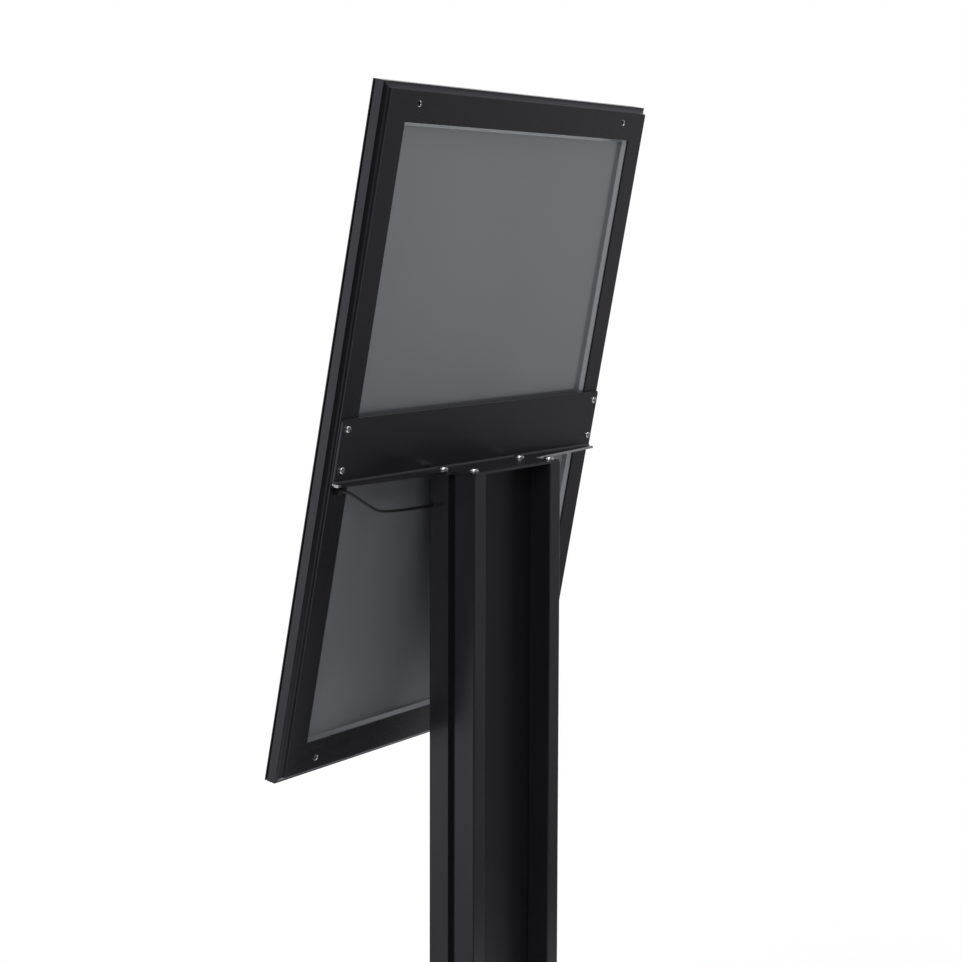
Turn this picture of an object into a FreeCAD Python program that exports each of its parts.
import FreeCAD, Part
import math
import os
import re
import Sketcher
from FreeCAD import Vector

# A floor-standing sign: an edge-lit poster frame with four opening rails, leaning back on a bent
# bracket, on top of an extruded post with a heavy base plate. Millimetres. +Z is up, the poster
# faces -Y, +X is the sign's own left, and the origin is on the floor under the middle of the base.

SIZES = {
    # poster and frame as a whole
    "poster_width": 457.2,
    "poster_height": 609.6,
    "poster_margin": 22.2,
    "sign_top": 362.9,
    "sign_offset": 30.1,
    "tilt_angle": 10.8,
    # frame profile, measured inward from the outer edge and forward from the rear face
    "frame_depth": 18.3,
    "cove_radius": 6.2,
    "border_width": 34.5,
    "flange_wall": 1.6,
    "side_wall": 1.8,
    "cove_wall": 2.8,
    "chamber_end": 12.5,
    "chamber_front": 9.4,
    "inner_wall": 1.5,
    "ledge_rear": 6.0,
    "ledge_front": 7.4,
    "ledge_end": 24.0,
    "strip_wall": 17.2,
    "strip_reach": 12.4,
    "fixing_side": 53.5,
    "fixing_edge": 17.0,
    "fixing_hole": 6.0,
    "key_start": 6.0,
    "key_end": 12.3,
    "key_leg": 46.0,
    "key_thick": 4.0,
    "key_play": 0.2,
    # hinge of the opening rails
    "hinge_inset": 2.0,
    "hinge_depth": 14.4,
    "socket_radius": 1.9,
    "socket_bore": 1.0,
    "bead_radius": 0.93,
    "rail_width": 32.0,
    "rail_thick": 1.6,
    "rail_lip": 2.2,
    "arm_thick": 0.8,
    "arm_reach": 3.2,
    "mitre_gap": 0.15,
    "bead_setback": 8.0,
    "rail_rounding": 1.0,
    "spring_start": 6.0,
    "spring_foot": 5.6,
    "spring_thick": 0.4,
    "spring_rise": 4.4,
    "spring_width": 24.0,
    # sheets between the rear panel and the opening rails
    "stack_inset": 22.0,
    "panel_rim": 21.0,
    "panel_thick": 1.2,
    "panel_bevel": 3.0,
    "reflector_thick": 0.5,
    "guide_thick": 4.0,
    "diffuser_thick": 1.0,
    "poster_thick": 0.3,
    "cover_thick": 1.0,
    "strip_thick": 1.0,
    "strip_height": 4.4,
    "strip_setback": 48.0,
    "led_size": 3.0,
    "led_height": 0.6,
    "led_pitch": 12.0,
    # post
    "post_width": 168.8,
    "post_depth": 51.0,
    "post_top": 1045.0,
    "profile_width": 21.4,
    "profile_wall": 1.8,
    "groove_mouth": 8.0,
    "groove_inner": 12.0,
    "groove_depth": 6.2,
    "slot_mouth": 2.5,
    "slot_gap": 0.6,
    "slot_depth": 10.2,
    "web_thick": 3.0,
    "chamber_start": 7.8,
    "port_spread": 17.2,
    "port_radius": 4.2,
    "port_bore": 6.0,
    "post_rounding": 1.2,
    # bracket
    "sheet_thick": 2.5,
    "bracket_width": 487.6,
    "bracket_leg": 58.5,
    "plate_drop": 2.7,
    "bend_radius": 2.5,
    "wing_root": 6.0,
    "wing_tip": 22.8,
    "shoulder_radius": 9.0,
    "corner_radius": 3.0,
    "screw_clearance": 2.1,
    "screw_bore": 1.75,
    "frame_screw_side": 235.0,
    "frame_screw_high": 49.2,
    "frame_screw_low": 10.4,
    # base
    "base_width": 450.0,
    "base_depth": 400.0,
    "base_thick": 8.0,
    "base_corner": 30.0,
    "base_edge": 1.5,
    "bolt_clearance": 3.2,
    "sink_radius": 5.6,
    "sink_depth": 3.8,
    "foot_height": 3.0,
    "foot_radius": 14.0,
    "foot_inset": 32.0,
    "foot_chamfer": 0.8,
    # lead and sockets
    "fit_play": 0.05,
    "lead_size": 3.0,
    "outlet_side": 233.0,
    "outlet_height": 9.6,
    "outlet_width": 7.0,
    "outlet_tall": 5.6,
    "outlet_depth": 4.6,
    "outlet_rounding": 1.0,
    "spigot_radius": 1.75,
    "spigot_tail": 1.0,
    "lead_entry_height": 35.9,
    "lead_entry_depth": 21.2,
    "sleeve_radius": 2.05,
    "grommet_radius": 3.4,
    "grommet_lip": 1.6,
    "grommet_rounding": 0.9,
    "inlet_height": 70.0,
    "inlet_barrel": 4.0,
    "inlet_length": 14.0,
    "inlet_flange": 6.5,
    "inlet_rim": 2.0,
    "inlet_rounding": 0.6,
    "inlet_well": 3.0,
    "inlet_well_depth": 9.0,
    "inlet_pin": 1.0,
    "inlet_pin_length": 8.0,
    "inlet_nut_width": 12.0,
    "inlet_nut_thick": 2.5,
}

SIGN_WIDTH = "(poster_width + 2 * poster_margin)"
SIGN_HEIGHT = "(poster_height + 2 * poster_margin)"
SIGN_DATUM = "(post_top + sheet_thick + plate_drop)"
SIGN_BOTTOM = f"(sign_top - {SIGN_HEIGHT})"
SIGN_MIDDLE = f"(sign_top - {SIGN_HEIGHT} / 2)"
PROFILE_AXIS = "((post_width - profile_width) / 2)"
BASE_TOP = "(foot_height + base_thick)"
THROUGH_MARGIN = 2
CUT_MARGIN = 0.5
ABOVE_PLATE = f"{CUT_MARGIN} - plate_drop"
THROUGH_PLATE = f"sheet_thick + 2 * {CUT_MARGIN}"
TOUCH = 0.01

# Round-headed screws: the dome is the rounding of the head's rim, and the drive is the recess.
POST_BOLT = {
    "head": 10.5, "height": 3.3, "shank": 5.9, "length": 22, "dome": 2.6,
    "drive": "hexagon", "drive_size": 4, "drive_depth": 2,
}
BASE_SCREW = {
    "head": 10.6, "height": 3.2, "shank": 5.9, "length": 24, "dome": 0.8,
    "drive": "hexagon", "drive_size": 4, "drive_depth": 2,
}
FRAME_SCREW = {
    "head": 6.8, "height": 2.2, "shank": 3.4, "length": 6, "dome": 1.2,
    "drive": "cross", "drive_size": 3.8, "drive_depth": 1.2,
}
CROSS_ARM = 0.35

# Each bend of the lead takes up this share of its shorter run.
ARC_SHARE = 0.45
# The lead hangs from the outlet on the frame to the grommet in the post's left side. Heights are
# below the datum line of the sign.
LEAD_ROUTE = [
    (229.5, -29.4, -9.4),
    (220.5, -28.8, -11.4),
    (208.0, -28.0, -17.0),
    (190.0, -27.0, -26.2),
    (173.0, -26.0, -34.0),
    (151.0, -24.9, -35.7),
    (128.0, -23.8, -36.3),
    (106.0, -22.4, -36.5),
    (85.6, -21.2, -35.9),
]

doc = FreeCAD.newDocument("SignStand")
sheet = doc.addObject("Spreadsheet::Sheet", "Sizes")
nodes = []


# ---------------------------------------------------------------- helpers


def fill_sheet():
    for row, (alias, value) in enumerate(SIZES.items(), start=1):
        sheet.set(f"A{row}", alias)
        sheet.set(f"B{row}", str(value))
        sheet.setAlias(f"B{row}", alias)
    doc.recompute()


def bound(text):
    """Every size has an underscore in its name, which tells it from the functions in a formula."""
    return re.sub(r"\b[a-z]+(?:_[a-z]+)+\b", r"Sizes.\g<0>", str(text))


def number(text):
    value = sheet.evalExpression(bound(text))
    return float(getattr(value, "Value", value))


def placement(x=0, y=0, z=0, axis="1; 0; 0", turn=0):
    return f"placement(vector({x}; {y}; {z}); rotation(vector({axis}); {turn}))"


ON_SIGN = placement(0, "-sign_offset", SIGN_DATUM, "1; 0; 0", "-tilt_angle")

# Each side of the frame has its own axes: X along the edge, Z inward from the outer edge and
# Y toward the rear, with the rear face at zero.
SIDES = {
    "bottom": (SIGN_WIDTH, placement(z=SIGN_BOTTOM)),
    "top": (SIGN_WIDTH, placement(z="sign_top", axis="0; 1; 0", turn=180)),
    "left": (SIGN_HEIGHT, placement(f"{SIGN_WIDTH} / 2", 0, SIGN_MIDDLE, "0; 1; 0", -90)),
    "right": (SIGN_HEIGHT, placement(f"-{SIGN_WIDTH} / 2", 0, SIGN_MIDDLE, "0; 1; 0", 90)),
}


def on_side(side):
    return f"{ON_SIGN} * {SIDES[side][1]}"


def place(thing, *steps):
    thing.setExpression("Placement", bound(" * ".join(steps)))


def new_body(name):
    body = doc.addObject("PartDesign::Body", name)
    body.Label = name
    nodes.append(body)
    return body


def new_sketch(body, role, offset=None):
    plane = next(f for f in body.Origin.OriginFeatures if f.Role == role)
    sketch = body.newObject("Sketcher::SketchObject", f"{body.Label}_sketch")
    sketch.AttachmentSupport = [(plane, "")]
    sketch.MapMode = "FlatFace"
    if offset is not None:
        sketch.setExpression("AttachmentOffset.Base.z", bound(offset))
    return sketch


def fix_point(sketch, item, point, x, y):
    for kind, text in (("DistanceX", x), ("DistanceY", y)):
        index = sketch.addConstraint(
            Sketcher.Constraint(kind, -1, 1, item, point, number(text))
        )
        sketch.setExpression(f"Constraints[{index}]", bound(text))


def draw_polygon(sketch, corners):
    first = sketch.GeometryCount
    spots = [Vector(number(x), number(y), 0) for x, y in corners]
    count = len(spots)
    for i, spot in enumerate(spots):
        sketch.addGeometry(Part.LineSegment(spot, spots[(i + 1) % count]), False)
    for i in range(count):
        following = first + (i + 1) % count
        sketch.addConstraint(Sketcher.Constraint("Coincident", first + i, 2, following, 1))
    for i, (x, y) in enumerate(corners):
        fix_point(sketch, first + i, 1, x, y)


def draw_rectangle(sketch, x_low, x_high, y_low, y_high):
    corners = [(x_low, y_low), (x_high, y_low), (x_high, y_high), (x_low, y_high)]
    draw_polygon(sketch, corners)


def draw_circle(sketch, x, y, radius):
    item = sketch.GeometryCount
    centre = Vector(number(x), number(y), 0)
    sketch.addGeometry(Part.Circle(centre, Vector(0, 0, 1), number(radius)), False)
    fix_point(sketch, item, 3, x, y)
    index = sketch.addConstraint(Sketcher.Constraint("Radius", item, number(radius)))
    sketch.setExpression(f"Constraints[{index}]", bound(radius))


def pad(body, sketch, length, side="One side", backward=False):
    feature = body.newObject("PartDesign::Pad", f"{body.Label}_pad")
    feature.Profile = sketch
    feature.SideType = side
    feature.Reversed = backward
    feature.setExpression("Length", bound(length))
    doc.recompute()
    return feature


def pocket(body, sketch, length=None, side="Symmetric", backward=False):
    """Cut the sketch through the body, or to a depth, and make sure that something was cut."""
    before = body.Shape.Volume
    feature = body.newObject("PartDesign::Pocket", f"{body.Label}_pocket")
    feature.Profile = sketch
    feature.SideType = side
    feature.Reversed = backward
    if length is None:
        feature.Type = "ThroughAll"
    else:
        feature.setExpression("Length", bound(length))
    doc.recompute()
    if body.Shape.Volume >= before:
        raise RuntimeError(f"{body.Label}: a pocket cut nothing")
    return feature


def round_edges(body, radius, chosen, kind="Fillet"):
    """Fillet or chamfer the edges of the body whose middle point passes the test."""
    names = []
    for i, edge in enumerate(body.Shape.Edges, start=1):
        middle = edge.valueAt((edge.FirstParameter + edge.LastParameter) / 2)
        if chosen(body.Placement.inverse().multVec(middle), edge):
            names.append(f"Edge{i}")
    if not names:
        raise RuntimeError(f"{body.Label}: no edge to round")
    base = body.Tip
    feature = body.newObject(f"PartDesign::{kind}", f"{body.Label}_{kind.lower()}")
    feature.Base = (base, names)
    size = "Radius" if kind == "Fillet" else "Size"
    feature.setExpression(size, bound(radius))
    body.Tip = feature
    doc.recompute()


def is_upright(middle, edge):
    return abs(edge.tangentAt(edge.FirstParameter).z) > 0.9


def at_level(axis, text):
    """A test for the edges whose middle lies at one coordinate of the body's own frame."""
    level = number(text)
    return lambda middle, edge: abs(getattr(middle, axis) - level) < TOUCH


def new_box(name, x_low, x_high, y_low, y_high, z_low, z_high, *steps):
    box = doc.addObject("Part::Box", name)
    box.Label = name
    box.setExpression("Length", bound(f"({x_high}) - ({x_low})"))
    box.setExpression("Width", bound(f"({y_high}) - ({y_low})"))
    box.setExpression("Height", bound(f"({z_high}) - ({z_low})"))
    place(box, *steps, placement(x_low, y_low, z_low))
    return box


# ---------------------------------------------------------------- screws


def hexagon(width):
    corner = f"{width} / 2 / cos(30 deg)"
    return [(f"{corner} * cos({60 * i} deg)", f"{corner} * sin({60 * i} deg)") for i in range(6)]


def cross(reach, half):
    quarter = [(reach, -half), (reach, half), (half, half)]
    corners = []
    for turn in range(4):
        for x, y in quarter:
            for _ in range(turn):
                x, y = -y, x
            corners.append((x, y))
    return corners


def screw(name, sort, *steps):
    """A round-headed screw that stands on its seat at Z zero, with the shank below it."""
    body = new_body(name)
    seat = new_sketch(body, "XY_Plane")
    draw_circle(seat, 0, 0, sort["head"] / 2)
    pad(body, seat, sort["height"])
    round_edges(body, sort["dome"], at_level("z", sort["height"]))
    core = new_sketch(body, "XY_Plane")
    draw_circle(core, 0, 0, sort["shank"] / 2)
    pad(body, core, sort["length"], backward=True)
    recess = new_sketch(body, "XY_Plane", sort["height"])
    if sort["drive"] == "hexagon":
        draw_polygon(recess, hexagon(sort["drive_size"]))
    else:
        draw_polygon(recess, cross(sort["drive_size"] / 2, CROSS_ARM))
    pocket(body, recess, sort["drive_depth"], side="One side")
    place(body, *steps)
    return body


# ---------------------------------------------------------------- base


def base_corners():
    for x_sign in (1, -1):
        for y_sign in (1, -1):
            yield x_sign, y_sign


def make_base_plate():
    body = new_body("base_plate")
    outline = new_sketch(body, "XY_Plane")
    draw_rectangle(outline, "-base_width / 2", "base_width / 2", "-base_depth / 2", "base_depth / 2")
    pad(body, outline, "base_thick")
    round_edges(body, "base_corner", is_upright)
    round_edges(body, "base_edge", at_level("z", "base_thick"), kind="Chamfer")
    holes = new_sketch(body, "XY_Plane")
    sinks = new_sketch(body, "XY_Plane")
    for x_sign, y_sign in base_corners():
        spot = (f"{x_sign} * {PROFILE_AXIS}", f"{y_sign} * port_spread")
        draw_circle(holes, *spot, "bolt_clearance")
        draw_circle(sinks, *spot, "sink_radius")
    pocket(body, holes)
    pocket(body, sinks, "sink_depth", side="One side", backward=True)
    place(body, placement(z="foot_height"))


def make_feet():
    for count, (x_sign, y_sign) in enumerate(base_corners(), start=1):
        body = new_body(f"base_foot_{count}")
        disc = new_sketch(body, "XY_Plane")
        draw_circle(disc, 0, 0, "foot_radius")
        pad(body, disc, "foot_height")
        round_edges(body, "foot_chamfer", at_level("z", 0), kind="Chamfer")
        x = f"{x_sign} * (base_width / 2 - foot_inset)"
        y = f"{y_sign} * (base_depth / 2 - foot_inset)"
        place(body, placement(x, y, 0))


def make_base_screws():
    """Cap screws that come up through the plate into the screw ports of the post."""
    for count, (x_sign, y_sign) in enumerate(base_corners(), start=1):
        x = f"{x_sign} * {PROFILE_AXIS}"
        y = f"{y_sign} * port_spread"
        seat = placement(x, y, "foot_height + sink_depth", "1; 0; 0", 180)
        screw(f"base_screw_{count}", BASE_SCREW, seat)


# ---------------------------------------------------------------- post


def make_post_side(name, turn, side_sign, has_lead_entry):
    """An extruded upright: a groove outside, a stepped slot for the web inside, two chambers."""
    body = new_body(name)
    half_x = "profile_width / 2"
    half_y = "post_depth / 2"
    height = f"post_top - {BASE_TOP}"
    outline = new_sketch(body, "XY_Plane")
    draw_rectangle(outline, f"-{half_x}", half_x, f"-{half_y}", half_y)
    pad(body, outline, height)
    round_edges(body, "post_rounding", is_upright)
    groove = new_sketch(body, "XY_Plane")
    mouth = "groove_mouth / 2"
    inner = "groove_inner / 2"
    lip = f"{half_x} - profile_wall"
    floor = f"{half_x} - groove_depth"
    outside = f"{half_x} + {THROUGH_MARGIN}"
    draw_polygon(groove, [
        (outside, f"-{mouth}"), (outside, mouth), (lip, mouth), (lip, inner),
        (floor, inner), (floor, f"-{inner}"), (lip, f"-{inner}"), (lip, f"-{mouth}"),
    ])
    pocket(body, groove)
    slot = new_sketch(body, "XY_Plane")
    seat = "(web_thick / 2 + fit_play)"
    gap = "(web_thick / 2 + slot_gap)"
    step = f"-{half_x} + slot_mouth"
    end = f"-{half_x} + slot_depth"
    draw_polygon(slot, [
        (f"-({outside})", gap), (f"-({outside})", f"-{gap}"), (step, f"-{gap}"),
        (step, f"-{seat}"), (end, f"-{seat}"), (end, seat), (step, seat), (step, gap),
    ])
    pocket(body, slot)
    chamber_x = f"{half_x} - profile_wall"
    chamber_y = f"{half_y} - profile_wall"
    chambers = new_sketch(body, "XY_Plane")
    draw_rectangle(chambers, f"-({chamber_x})", chamber_x, "chamber_start", chamber_y)
    draw_rectangle(chambers, f"-({chamber_x})", chamber_x, f"-({chamber_y})", "-chamber_start")
    pocket(body, chambers)
    ports = new_sketch(body, "XY_Plane")
    ribs = new_sketch(body, "XY_Plane")
    bores = new_sketch(body, "XY_Plane")
    for y_sign in (1, -1):
        draw_circle(ports, 0, f"{y_sign} * port_spread", "port_radius")
        edges = [f"{y_sign} * chamber_start", f"{y_sign} * ({chamber_y})"]
        low, high = sorted(edges, key=number)
        draw_rectangle(ribs, "-profile_wall / 2", "profile_wall / 2", low, high)
        draw_circle(bores, 0, f"{y_sign} * port_spread", "port_bore / 2")
    pad(body, ports, height)
    pad(body, ribs, height)
    pocket(body, bores)
    if has_lead_entry:
        entry = new_sketch(body, "YZ_Plane", f"{lip} - {CUT_MARGIN}")
        entry_height = f"{SIGN_DATUM} - lead_entry_height - {BASE_TOP}"
        draw_circle(entry, "-lead_entry_depth", entry_height, "sleeve_radius + fit_play")
        pocket(body, entry, side="One side", backward=True)
    place(body, placement(f"{side_sign} * {PROFILE_AXIS}", 0, BASE_TOP, "0; 0; 1", turn))


def make_post_web():
    body = new_body("post_web_panel")
    half = "(post_width / 2 - profile_width + slot_depth - fit_play)"
    outline = new_sketch(body, "XZ_Plane")
    draw_rectangle(outline, f"-{half}", half, BASE_TOP, "post_top")
    pad(body, outline, "web_thick", side="Symmetric")
    hole = new_sketch(body, "XZ_Plane")
    draw_circle(hole, 0, "inlet_height", "inlet_barrel + fit_play")
    pocket(body, hole)


def make_inlet():
    """A low-voltage socket low on the rear of the web, with a nut on the front side."""
    body = new_body("power_inlet")
    face = "web_thick / 2"
    flange = new_sketch(body, "XZ_Plane", f"-{face} - inlet_rim")
    draw_circle(flange, 0, "inlet_height", "inlet_flange")
    pad(body, flange, "inlet_rim")
    round_edges(body, "inlet_rounding", at_level("y", f"{face} + inlet_rim"))
    barrel = new_sketch(body, "XZ_Plane", f"-{face}")
    draw_circle(barrel, 0, "inlet_height", "inlet_barrel")
    pad(body, barrel, "inlet_length")
    well = new_sketch(body, "XZ_Plane", f"-{face} - inlet_rim")
    draw_circle(well, 0, "inlet_height", "inlet_well")
    pocket(body, well, "inlet_well_depth", side="One side", backward=True)
    pin = new_sketch(body, "XZ_Plane", f"-{face} + inlet_pin_length")
    draw_circle(pin, 0, "inlet_height", "inlet_pin")
    pad(body, pin, "inlet_pin_length", backward=True)
    nut = new_body("power_inlet_nut")
    ring = new_sketch(nut, "XZ_Plane", face)
    draw_polygon(ring, [(x, f"{z} + inlet_height") for x, z in hexagon("inlet_nut_width")])
    draw_circle(ring, 0, "inlet_height", "inlet_barrel + fit_play")
    pad(nut, ring, "inlet_nut_thick")


# ---------------------------------------------------------------- bracket


def make_bracket():
    """One bent sheet: a plate on top of the post and a leg up the rear face of the frame."""
    body = new_body("head_bracket")
    lean = "tan(tilt_angle * 1 deg)"
    rise = "cos(tilt_angle * 1 deg)"
    back = "sin(tilt_angle * 1 deg)"
    inner_y = f"-sign_offset - plate_drop * {lean} + sheet_thick / {rise}"
    outer_y = f"-sign_offset - (plate_drop + sheet_thick) * {lean}"
    top_y = f"-sign_offset + bracket_leg * {back}"
    top_z = f"bracket_leg * {rise}"
    under = "-plate_drop - sheet_thick"
    section = new_sketch(body, "YZ_Plane")
    draw_polygon(section, [
        (inner_y, "-plate_drop"), ("post_depth / 2", "-plate_drop"), ("post_depth / 2", under),
        (outer_y, under), (top_y, top_z),
        (f"{top_y} + sheet_thick * {rise}", f"{top_z} - sheet_thick * {back}"),
    ])
    pad(body, section, "bracket_width", side="Symmetric")

    round_edges(body, "bend_radius", along_x(inner_y, "-plate_drop"))
    round_edges(body, "bend_radius + sheet_thick", along_x(outer_y, under))
    cut_wings(body)
    drill_bracket(body)
    place(body, placement(z=SIGN_DATUM))


def along_x(y, z):
    """A test for the edges that run past one point of the YZ plane."""
    at_y, at_z = number(y), number(z)
    return lambda middle, edge: math.hypot(middle.y - at_y, middle.z - at_z) < TOUCH


def cut_wings(body):
    """Beside the post the plate narrows to a wing, with rounded shoulders and corners."""
    wings = new_sketch(body, "XY_Plane", ABOVE_PLATE)
    beyond = f"bracket_width / 2 + {THROUGH_MARGIN}"
    clear = f"post_depth / 2 + {THROUGH_MARGIN}"
    for side in (1, -1):
        draw_polygon(wings, [
            (f"{side} * post_width / 2", clear), (f"{side} * post_width / 2", "-wing_root"),
            (f"{side} * ({beyond})", "-wing_tip"), (f"{side} * ({beyond})", clear),
        ])
    pocket(body, wings, THROUGH_PLATE, side="One side")
    half_post, root_y = number("post_width / 2"), -number("wing_root")
    rear_y, half_width = number("post_depth / 2"), number("bracket_width / 2")
    short, half_leg = 2 * number("sheet_thick"), number("bracket_leg / 2")

    def is_shoulder(middle, edge):
        from_root = math.hypot(abs(middle.x) - half_post, middle.y - root_y)
        return is_upright(middle, edge) and from_root < TOUCH

    def is_rear_corner(middle, edge):
        return is_upright(middle, edge) and abs(middle.y - rear_y) < TOUCH

    def is_leg_corner(middle, edge):
        on_end = abs(abs(middle.x) - half_width) < TOUCH
        return on_end and middle.z > half_leg and edge.Length < short

    round_edges(body, "shoulder_radius", is_shoulder)
    round_edges(body, "corner_radius", is_rear_corner)
    round_edges(body, "corner_radius", is_leg_corner)


def drill_bracket(body):
    """Bolt holes go through the plate alone, because the leg leans back over the front two."""
    bolt_holes = new_sketch(body, "XY_Plane", ABOVE_PLATE)
    for x_sign, y_sign in base_corners():
        x, y = f"{x_sign} * {PROFILE_AXIS}", f"{y_sign} * port_spread"
        draw_circle(bolt_holes, x, y, "bolt_clearance")
    pocket(body, bolt_holes, THROUGH_PLATE, side="One side")
    screw_holes = new_sketch(body, "XZ_Plane")
    for x_sign in (1, -1):
        for height in ("frame_screw_low", "frame_screw_high"):
            z = f"{height} * cos(tilt_angle * 1 deg)"
            draw_circle(screw_holes, f"{x_sign} * frame_screw_side", z, "screw_clearance")
    pocket(body, screw_holes)


def make_bracket_fasteners():
    for count, (x_sign, y_sign) in enumerate(base_corners(), start=1):
        x = f"{x_sign} * {PROFILE_AXIS}"
        spot = placement(x, f"{y_sign} * port_spread", "post_top + sheet_thick")
        screw(f"post_bolt_{count}", POST_BOLT, spot)
    count = 0
    for x_sign in (1, -1):
        for height in ("frame_screw_low", "frame_screw_high"):
            count += 1
            x = f"{x_sign} * frame_screw_side"
            spot = placement(x, "sheet_thick", height, "1; 0; 0", -90)
            screw(f"frame_screw_{count}", FRAME_SCREW, ON_SIGN, spot)


# ---------------------------------------------------------------- frame


def section_sketch(body):
    return new_sketch(body, "YZ_Plane")


def across(points):
    """Turn (inward, forward) pairs of a profile's section into sketch coordinates."""
    return [(f"-({forward})", inward) for inward, forward in points]


def cut_mitres(body, length, width, gap):
    cuts = new_sketch(body, "XZ_Plane")
    half = f"({length} / 2)"
    margin = THROUGH_MARGIN
    for side in (1, -1):
        draw_polygon(cuts, [
            (f"{side} * ({half} - {gap} + {margin})", -margin),
            (f"{side} * ({half} + 2 * {margin})", -margin),
            (f"{side} * ({half} + 2 * {margin})", f"{width} + {margin}"),
            (f"{side} * ({half} - {gap} - {width} - {margin})", f"{width} + {margin}"),
        ])
    pocket(body, cuts)


def make_frame_profile(side, holes):
    """The fixed extrusion of one side: rear flange, key chamber, ledges and the hinge socket."""
    length, _ = SIDES[side]
    body = new_body(f"frame_profile_{side}")
    wall_in = "chamber_end + inner_wall"
    roof = "chamber_front + flange_wall"
    outline = section_sketch(body)
    draw_polygon(outline, across([
        (0, 0), ("border_width", 0), ("border_width", "flange_wall"), (wall_in, "flange_wall"),
        (wall_in, "ledge_rear"), ("ledge_end", "ledge_rear"), ("ledge_end", "ledge_front"),
        ("strip_wall + inner_wall", "ledge_front"), ("strip_wall + inner_wall", "strip_reach"),
        ("strip_wall", "strip_reach"), ("strip_wall", "ledge_front"), (wall_in, "ledge_front"),
        (wall_in, roof), ("side_wall", roof), ("side_wall", "hinge_depth"), (0, "hinge_depth"),
    ]))
    pad(body, outline, length, side="Symmetric")
    chamber = section_sketch(body)
    draw_polygon(chamber, across([
        ("cove_radius + cove_wall", "flange_wall"), ("chamber_end", "flange_wall"),
        ("chamber_end", "chamber_front"), ("side_wall", "chamber_front"),
        ("side_wall", "cove_radius + cove_wall"),
    ]))
    pocket(body, chamber)
    cove = section_sketch(body)
    draw_circle(cove, 0, 0, "cove_radius")
    pocket(body, cove)
    socket = section_sketch(body)
    draw_circle(socket, "-hinge_depth", "hinge_inset", "socket_radius")
    pad(body, socket, length, side="Symmetric")
    mouth = section_sketch(body)
    mouth_start, mouth_middle, mouth_end = -25, 48, 122
    rays = [(2, mouth_start), (3, mouth_middle), (2, mouth_end)]
    corners = [("hinge_inset", "hinge_depth")]
    for reach, angle in rays:
        corners.append((
            f"hinge_inset + {reach} * socket_radius * cos({angle} deg)",
            f"hinge_depth + {reach} * socket_radius * sin({angle} deg)",
        ))
    draw_polygon(mouth, across(corners))
    pocket(body, mouth)
    bore = section_sketch(body)
    draw_circle(bore, "-hinge_depth", "hinge_inset", "socket_bore")
    pocket(body, bore)
    cut_mitres(body, length, "border_width", 0)
    if holes:
        drilled = new_sketch(body, "XZ_Plane")
        for along, inward, radius in holes:
            draw_circle(drilled, along, inward, radius)
        pocket(body, drilled, f"2 * (flange_wall + {CUT_MARGIN})")
    place(body, on_side(side))


def make_frame_profiles():
    fixing = f"({SIGN_WIDTH} / 2 - fixing_side)"
    fixing_holes = [
        (fixing, "fixing_edge", "fixing_hole / 2"),
        (f"-{fixing}", "fixing_edge", "fixing_hole / 2"),
    ]
    screw_inset = f"{SIGN_WIDTH} / 2 - frame_screw_side"
    outlet_inset = f"{SIGN_WIDTH} / 2 - outlet_side"
    for side in ("bottom", "top"):
        make_frame_profile(side, fixing_holes)
    for side, sense in (("left", 1), ("right", -1)):
        holes = []
        for height in ("frame_screw_low", "frame_screw_high"):
            holes.append((f"{sense} * ({height} - {SIGN_MIDDLE})", screw_inset, "screw_bore"))
        if side == "left":
            outlet_along = f"-outlet_height - {SIGN_MIDDLE}"
            holes.append((outlet_along, outlet_inset, "spigot_radius + fit_play"))
        make_frame_profile(side, holes)


def make_corner_keys():
    inner, outer, leg = "key_start", "key_end", "key_leg"
    turns = {
        "bottom_right": (f"-{SIGN_WIDTH} / 2", SIGN_BOTTOM, 0),
        "bottom_left": (f"{SIGN_WIDTH} / 2", SIGN_BOTTOM, -90),
        "top_left": (f"{SIGN_WIDTH} / 2", "sign_top", 180),
        "top_right": (f"-{SIGN_WIDTH} / 2", "sign_top", 90),
    }
    for corner, (x, z, turn) in turns.items():
        body = new_body(f"corner_key_{corner}")
        outline = new_sketch(body, "XZ_Plane", "chamber_front - key_thick - key_play")
        draw_polygon(outline, [
            (inner, inner), (leg, inner), (leg, outer), (outer, outer), (outer, leg), (inner, leg),
        ])
        pad(body, outline, "key_thick")
        place(body, ON_SIGN, placement(x, 0, z, "0; 1; 0", turn))


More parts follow.
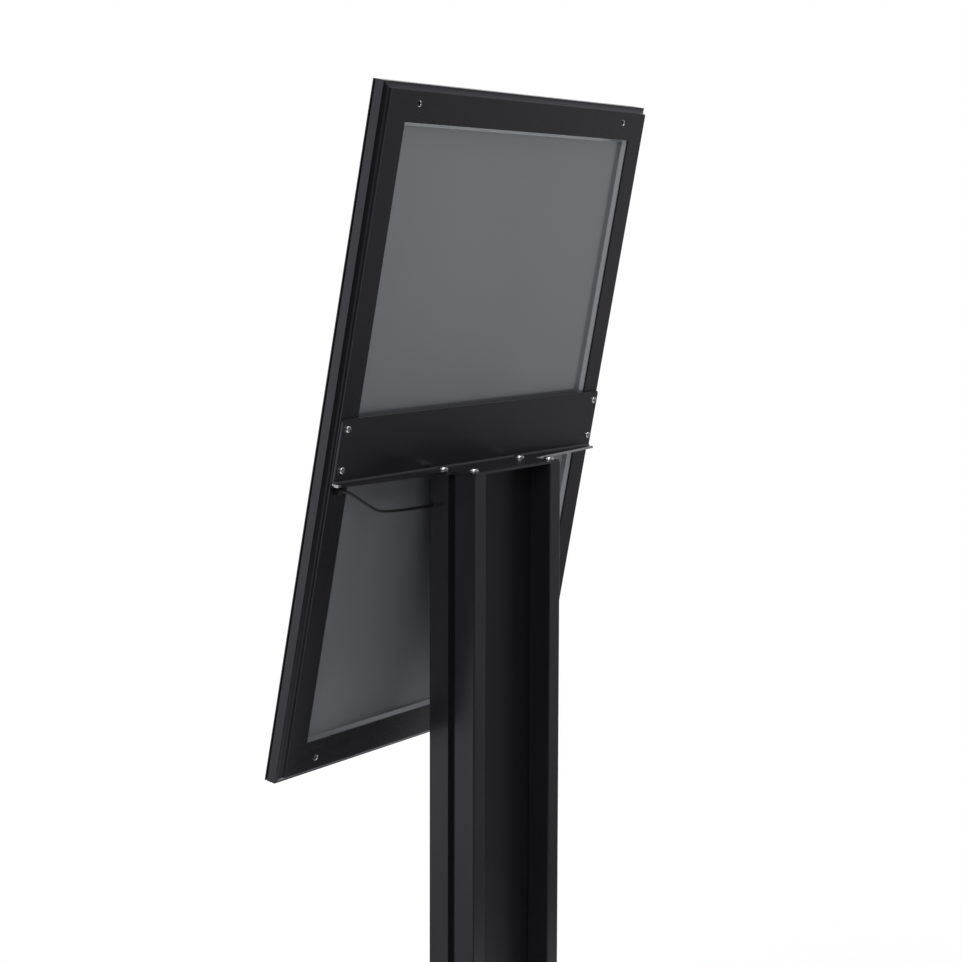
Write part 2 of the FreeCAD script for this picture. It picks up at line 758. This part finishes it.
def make_snap_rails():
    """The opening rail of each side: a mitred face with an inner lip, hung on a bead."""
    underside = "frame_depth - rail_thick"
    for side, (length, _) in SIDES.items():
        body = new_body(f"snap_rail_{side}")
        face = section_sketch(body)
        draw_polygon(face, across([
            (0, underside), (0, "frame_depth"), ("rail_width", "frame_depth"),
            ("rail_width", f"{underside} - rail_lip"),
            ("rail_width - rail_thick", f"{underside} - rail_lip"),
            ("rail_width - rail_thick", underside),
        ]))
        pad(body, face, length, side="Symmetric")
        for inward in (0, "rail_width"):
            round_edges(body, "rail_rounding", along_x("-frame_depth", inward))
        cut_mitres(body, length, "rail_width", "mitre_gap")
        arm = section_sketch(body)
        arm_low = "hinge_depth - arm_thick / 2"
        arm_high = "hinge_depth + arm_thick / 2"
        arm_out = "hinge_inset + arm_reach"
        arm_root = f"{underside} + arm_thick / 2"
        draw_polygon(arm, across([
            ("hinge_inset", arm_low), (arm_out, arm_low), (arm_out, arm_root),
            (f"{arm_out} - arm_thick", arm_root),
            (f"{arm_out} - arm_thick", arm_high), ("hinge_inset", arm_high),
        ]))
        pad(body, arm, f"{length} - 2 * bead_setback", side="Symmetric")
        bead = section_sketch(body)
        draw_circle(bead, "-hinge_depth", "hinge_inset", "bead_radius")
        pad(body, bead, f"{length} - 2 * bead_setback", side="Symmetric")
        place(body, on_side(side))


def make_rail_springs():
    """Two bent leaf springs behind each rail keep it pressed shut or held open."""
    roof = "chamber_front + flange_wall"
    for side, (length, _) in SIDES.items():
        for count, sense in ((1, 1), (2, -1)):
            body = new_body(f"rail_spring_{side}_{count}")
            leaf = section_sketch(body)
            foot_end = "spring_start + spring_foot"
            foot_top = f"{roof} + spring_thick"
            draw_polygon(leaf, across([
                ("spring_start", roof), (foot_end, roof), (foot_end, foot_top),
                ("spring_start + 2.5 * spring_thick", foot_top),
                (f"{foot_end} - spring_thick / 2", f"{foot_top} + spring_rise"),
                (f"{foot_end} - spring_thick", f"{foot_top} + spring_rise + spring_thick / 2"),
                ("spring_start", foot_top),
            ]))
            pad(body, leaf, "spring_width", side="Symmetric")
            place(body, on_side(side), placement(f"{sense} * {length} / 4"))


# ---------------------------------------------------------------- panels and light


def frustum(name, front, rear, front_inset, rear_inset):
    """A tapered block about the middle of the frame, between two depths from the rear face."""
    wedge = doc.addObject("Part::Wedge", name)
    half_x = f"{SIGN_WIDTH} / 2"
    half_z = f"{SIGN_HEIGHT} / 2"
    sizes = {
        "Ymin": f"-({front})", "Ymax": f"-({rear})",
        "Xmin": f"{front_inset} - {half_x}", "Xmax": f"{half_x} - ({front_inset})",
        "Zmin": f"{front_inset} - {half_z}", "Zmax": f"{half_z} - ({front_inset})",
        "X2min": f"{rear_inset} - {half_x}", "X2max": f"{half_x} - ({rear_inset})",
        "Z2min": f"{rear_inset} - {half_z}", "Z2max": f"{half_z} - ({rear_inset})",
    }
    for key, text in sizes.items():
        wedge.setExpression(key, bound(text))
    place(wedge, ON_SIGN, placement(z=SIGN_MIDDLE))
    return wedge


def sheet_box(name, inset, depth, thick):
    x_half = f"({SIGN_WIDTH} / 2 - {inset})"
    z_half = f"({SIGN_HEIGHT} / 2 - {inset})"
    where = (ON_SIGN, placement(z=SIGN_MIDDLE))
    return new_box(
        name, f"-{x_half}", x_half, f"-({depth}) - {thick}", f"-({depth})",
        f"-{z_half}", z_half, *where,
    )


def make_rear_panel():
    """A pressed tray: a rim under the rear flange, a bevel and a recessed flat."""
    rim = sheet_box("panel_rim_sheet", "panel_rim", "flange_wall", "panel_thick")
    deep_inset = "(border_width + panel_bevel)"
    shell = frustum("panel_shell", "ledge_front", "flange_wall + panel_thick",
                    deep_inset, "border_width")
    hollow = frustum("panel_hollow", "ledge_front - panel_thick", "flange_wall",
                     deep_inset, "border_width")
    solid = doc.addObject("Part::Fuse", "panel_solid")
    solid.Base = rim
    solid.Tool = shell
    tray = doc.addObject("Part::Cut", "rear_panel")
    tray.Base = solid
    tray.Tool = hollow
    tray.Label = "rear_panel"
    nodes.append(tray)


def make_light_stack():
    depth = "ledge_front"
    layers = ("reflector", "guide", "diffuser")
    names = ("reflector_sheet", "light_guide", "diffuser_sheet")
    for layer, name in zip(layers, names):
        nodes.append(sheet_box(name, "stack_inset", depth, f"{layer}_thick"))
        depth = f"{depth} + {layer}_thick"
    nodes.append(sheet_box("poster_sheet", "poster_margin", depth, "poster_thick"))
    depth = f"{depth} + poster_thick"
    nodes.append(sheet_box("clear_cover", "stack_inset", depth, "cover_thick"))


def make_light_strips():
    """A strip of light-emitting diodes stands along each long edge of the light guide."""
    seat = "strip_wall + inner_wall"
    for side in ("left", "right"):
        length, _ = SIDES[side]
        body = new_body(f"light_strip_{side}")
        board = section_sketch(body)
        board_front = "-ledge_front - strip_height"
        draw_rectangle(board, board_front, "-ledge_front", seat, f"{seat} + strip_thick")
        board_length = f"({length} - 2 * strip_setback)"
        pad(body, board, board_length, side="Symmetric")
        diode = new_sketch(body, "XY_Plane", f"{seat} + strip_thick")
        start = f"-{board_length} / 2 + led_pitch / 2"
        middle = "-ledge_front - strip_height / 2"
        draw_rectangle(
            diode, f"{start} - led_size / 2", f"{start} + led_size / 2",
            f"{middle} - led_size / 2", f"{middle} + led_size / 2",
        )
        first = pad(body, diode, "led_height")
        row = body.newObject("PartDesign::LinearPattern", f"{body.Label}_row")
        row.Originals = [first]
        row.Direction = (board, ["N_Axis"])
        row.Mode = "Spacing"
        row.setExpression("Offset", bound("led_pitch"))
        row.Occurrences = int(number(board_length) // number("led_pitch"))
        body.Tip = row
        doc.recompute()
        place(body, on_side(side))


# ---------------------------------------------------------------- lead


def make_lead_outlet():
    body = new_body("lead_outlet")
    half_x, half_z = "outlet_width / 2", "outlet_tall / 2"
    block = new_sketch(body, "XZ_Plane")
    draw_rectangle(block, f"-{half_x}", half_x, f"-{half_z}", half_z)
    pad(body, block, "outlet_depth", backward=True)
    round_edges(body, "outlet_rounding", at_level("y", "outlet_depth"))
    spigot = new_sketch(body, "XZ_Plane")
    draw_circle(spigot, 0, 0, "spigot_radius")
    pad(body, spigot, "flange_wall + spigot_tail")
    place(body, ON_SIGN, placement("outlet_side", 0, "-outlet_height"))


def make_post_grommet():
    body = new_body("post_grommet")
    lip = new_sketch(body, "YZ_Plane")
    draw_circle(lip, 0, 0, "grommet_radius")
    pad(body, lip, "grommet_lip")
    round_edges(body, "grommet_rounding", at_level("x", "grommet_lip"))
    sleeve = new_sketch(body, "YZ_Plane")
    draw_circle(sleeve, 0, 0, "sleeve_radius")
    pad(body, sleeve, "profile_wall + spigot_tail", backward=True)
    height = f"{SIGN_DATUM} - lead_entry_height"
    place(body, placement("post_width / 2", "-lead_entry_depth", height))


def rounded_route(points):
    """Straight runs joined by tangent arcs, each as large as its two runs allow."""
    edges = []
    radii = []
    start = points[0]
    for before, corner, after in zip(points, points[1:], points[2:]):
        arriving = (corner - before).normalize()
        leaving = (after - corner).normalize()
        half_turn = arriving.getAngle(leaving) / 2
        reach = ARC_SHARE * min((corner - before).Length, (after - corner).Length)
        radii.append(reach / math.tan(half_turn))
        arc_start = corner - arriving * reach
        arc_end = corner + leaving * reach
        bulge = (leaving - arriving).normalize()
        depth = radii[-1] / math.cos(half_turn) - radii[-1]
        edges.append(Part.LineSegment(start, arc_start).toShape())
        edges.append(Part.Arc(arc_start, corner + bulge * depth, arc_end).toShape())
        start = arc_end
    edges.append(Part.LineSegment(start, points[-1]).toShape())
    return Part.Wire(edges), radii


def make_lead():
    datum = number(SIGN_DATUM)
    points = [Vector(x, y, datum + z) for x, y, z in LEAD_ROUTE]
    path, radii = rounded_route(points)
    radius = number("lead_size") / 2
    ring = Part.Wire(Part.makeCircle(radius, points[0], points[1] - points[0]))
    tube = path.makePipeShell([ring], True, False)
    lead = doc.addObject("Part::Feature", "sign_lead")
    lead.Label = "sign_lead"
    lead.Shape = tube
    nodes.append(lead)
    expected = math.pi * radius**2 * path.Length
    print("lead radii", [round(r, 1) for r in radii])
    print("lead length", round(path.Length, 1), "volume ratio", round(tube.Volume / expected, 4))


# ---------------------------------------------------------------- build and write


def build():
    fill_sheet()
    make_base_plate()
    make_feet()
    make_base_screws()
    make_post_side("post_side_left", 0, 1, True)
    make_post_side("post_side_right", 180, -1, False)
    make_post_web()
    make_inlet()
    make_bracket()
    make_bracket_fasteners()
    make_frame_profiles()
    make_corner_keys()
    make_rear_panel()
    make_light_stack()
    make_light_strips()
    make_snap_rails()
    make_rail_springs()
    make_lead_outlet()
    make_post_grommet()
    make_lead()
    doc.recompute()


def check():
    failed = [o.Label for o in doc.Objects if "Invalid" in o.State or "Error" in o.State]
    if failed:
        raise RuntimeError(f"failed objects: {failed}")
    for node in nodes:
        if node.Shape.isNull() or not node.Shape.isValid() or len(node.Shape.Solids) != 1:
            raise RuntimeError(f"{node.Label}: not one valid solid")


def write():
    os.makedirs("parts", exist_ok=True)
    for node in nodes:
        node.Shape.exportStep(f"parts/{node.Label}.step")
    print(len(nodes), "parts written")


build()
check()
write()
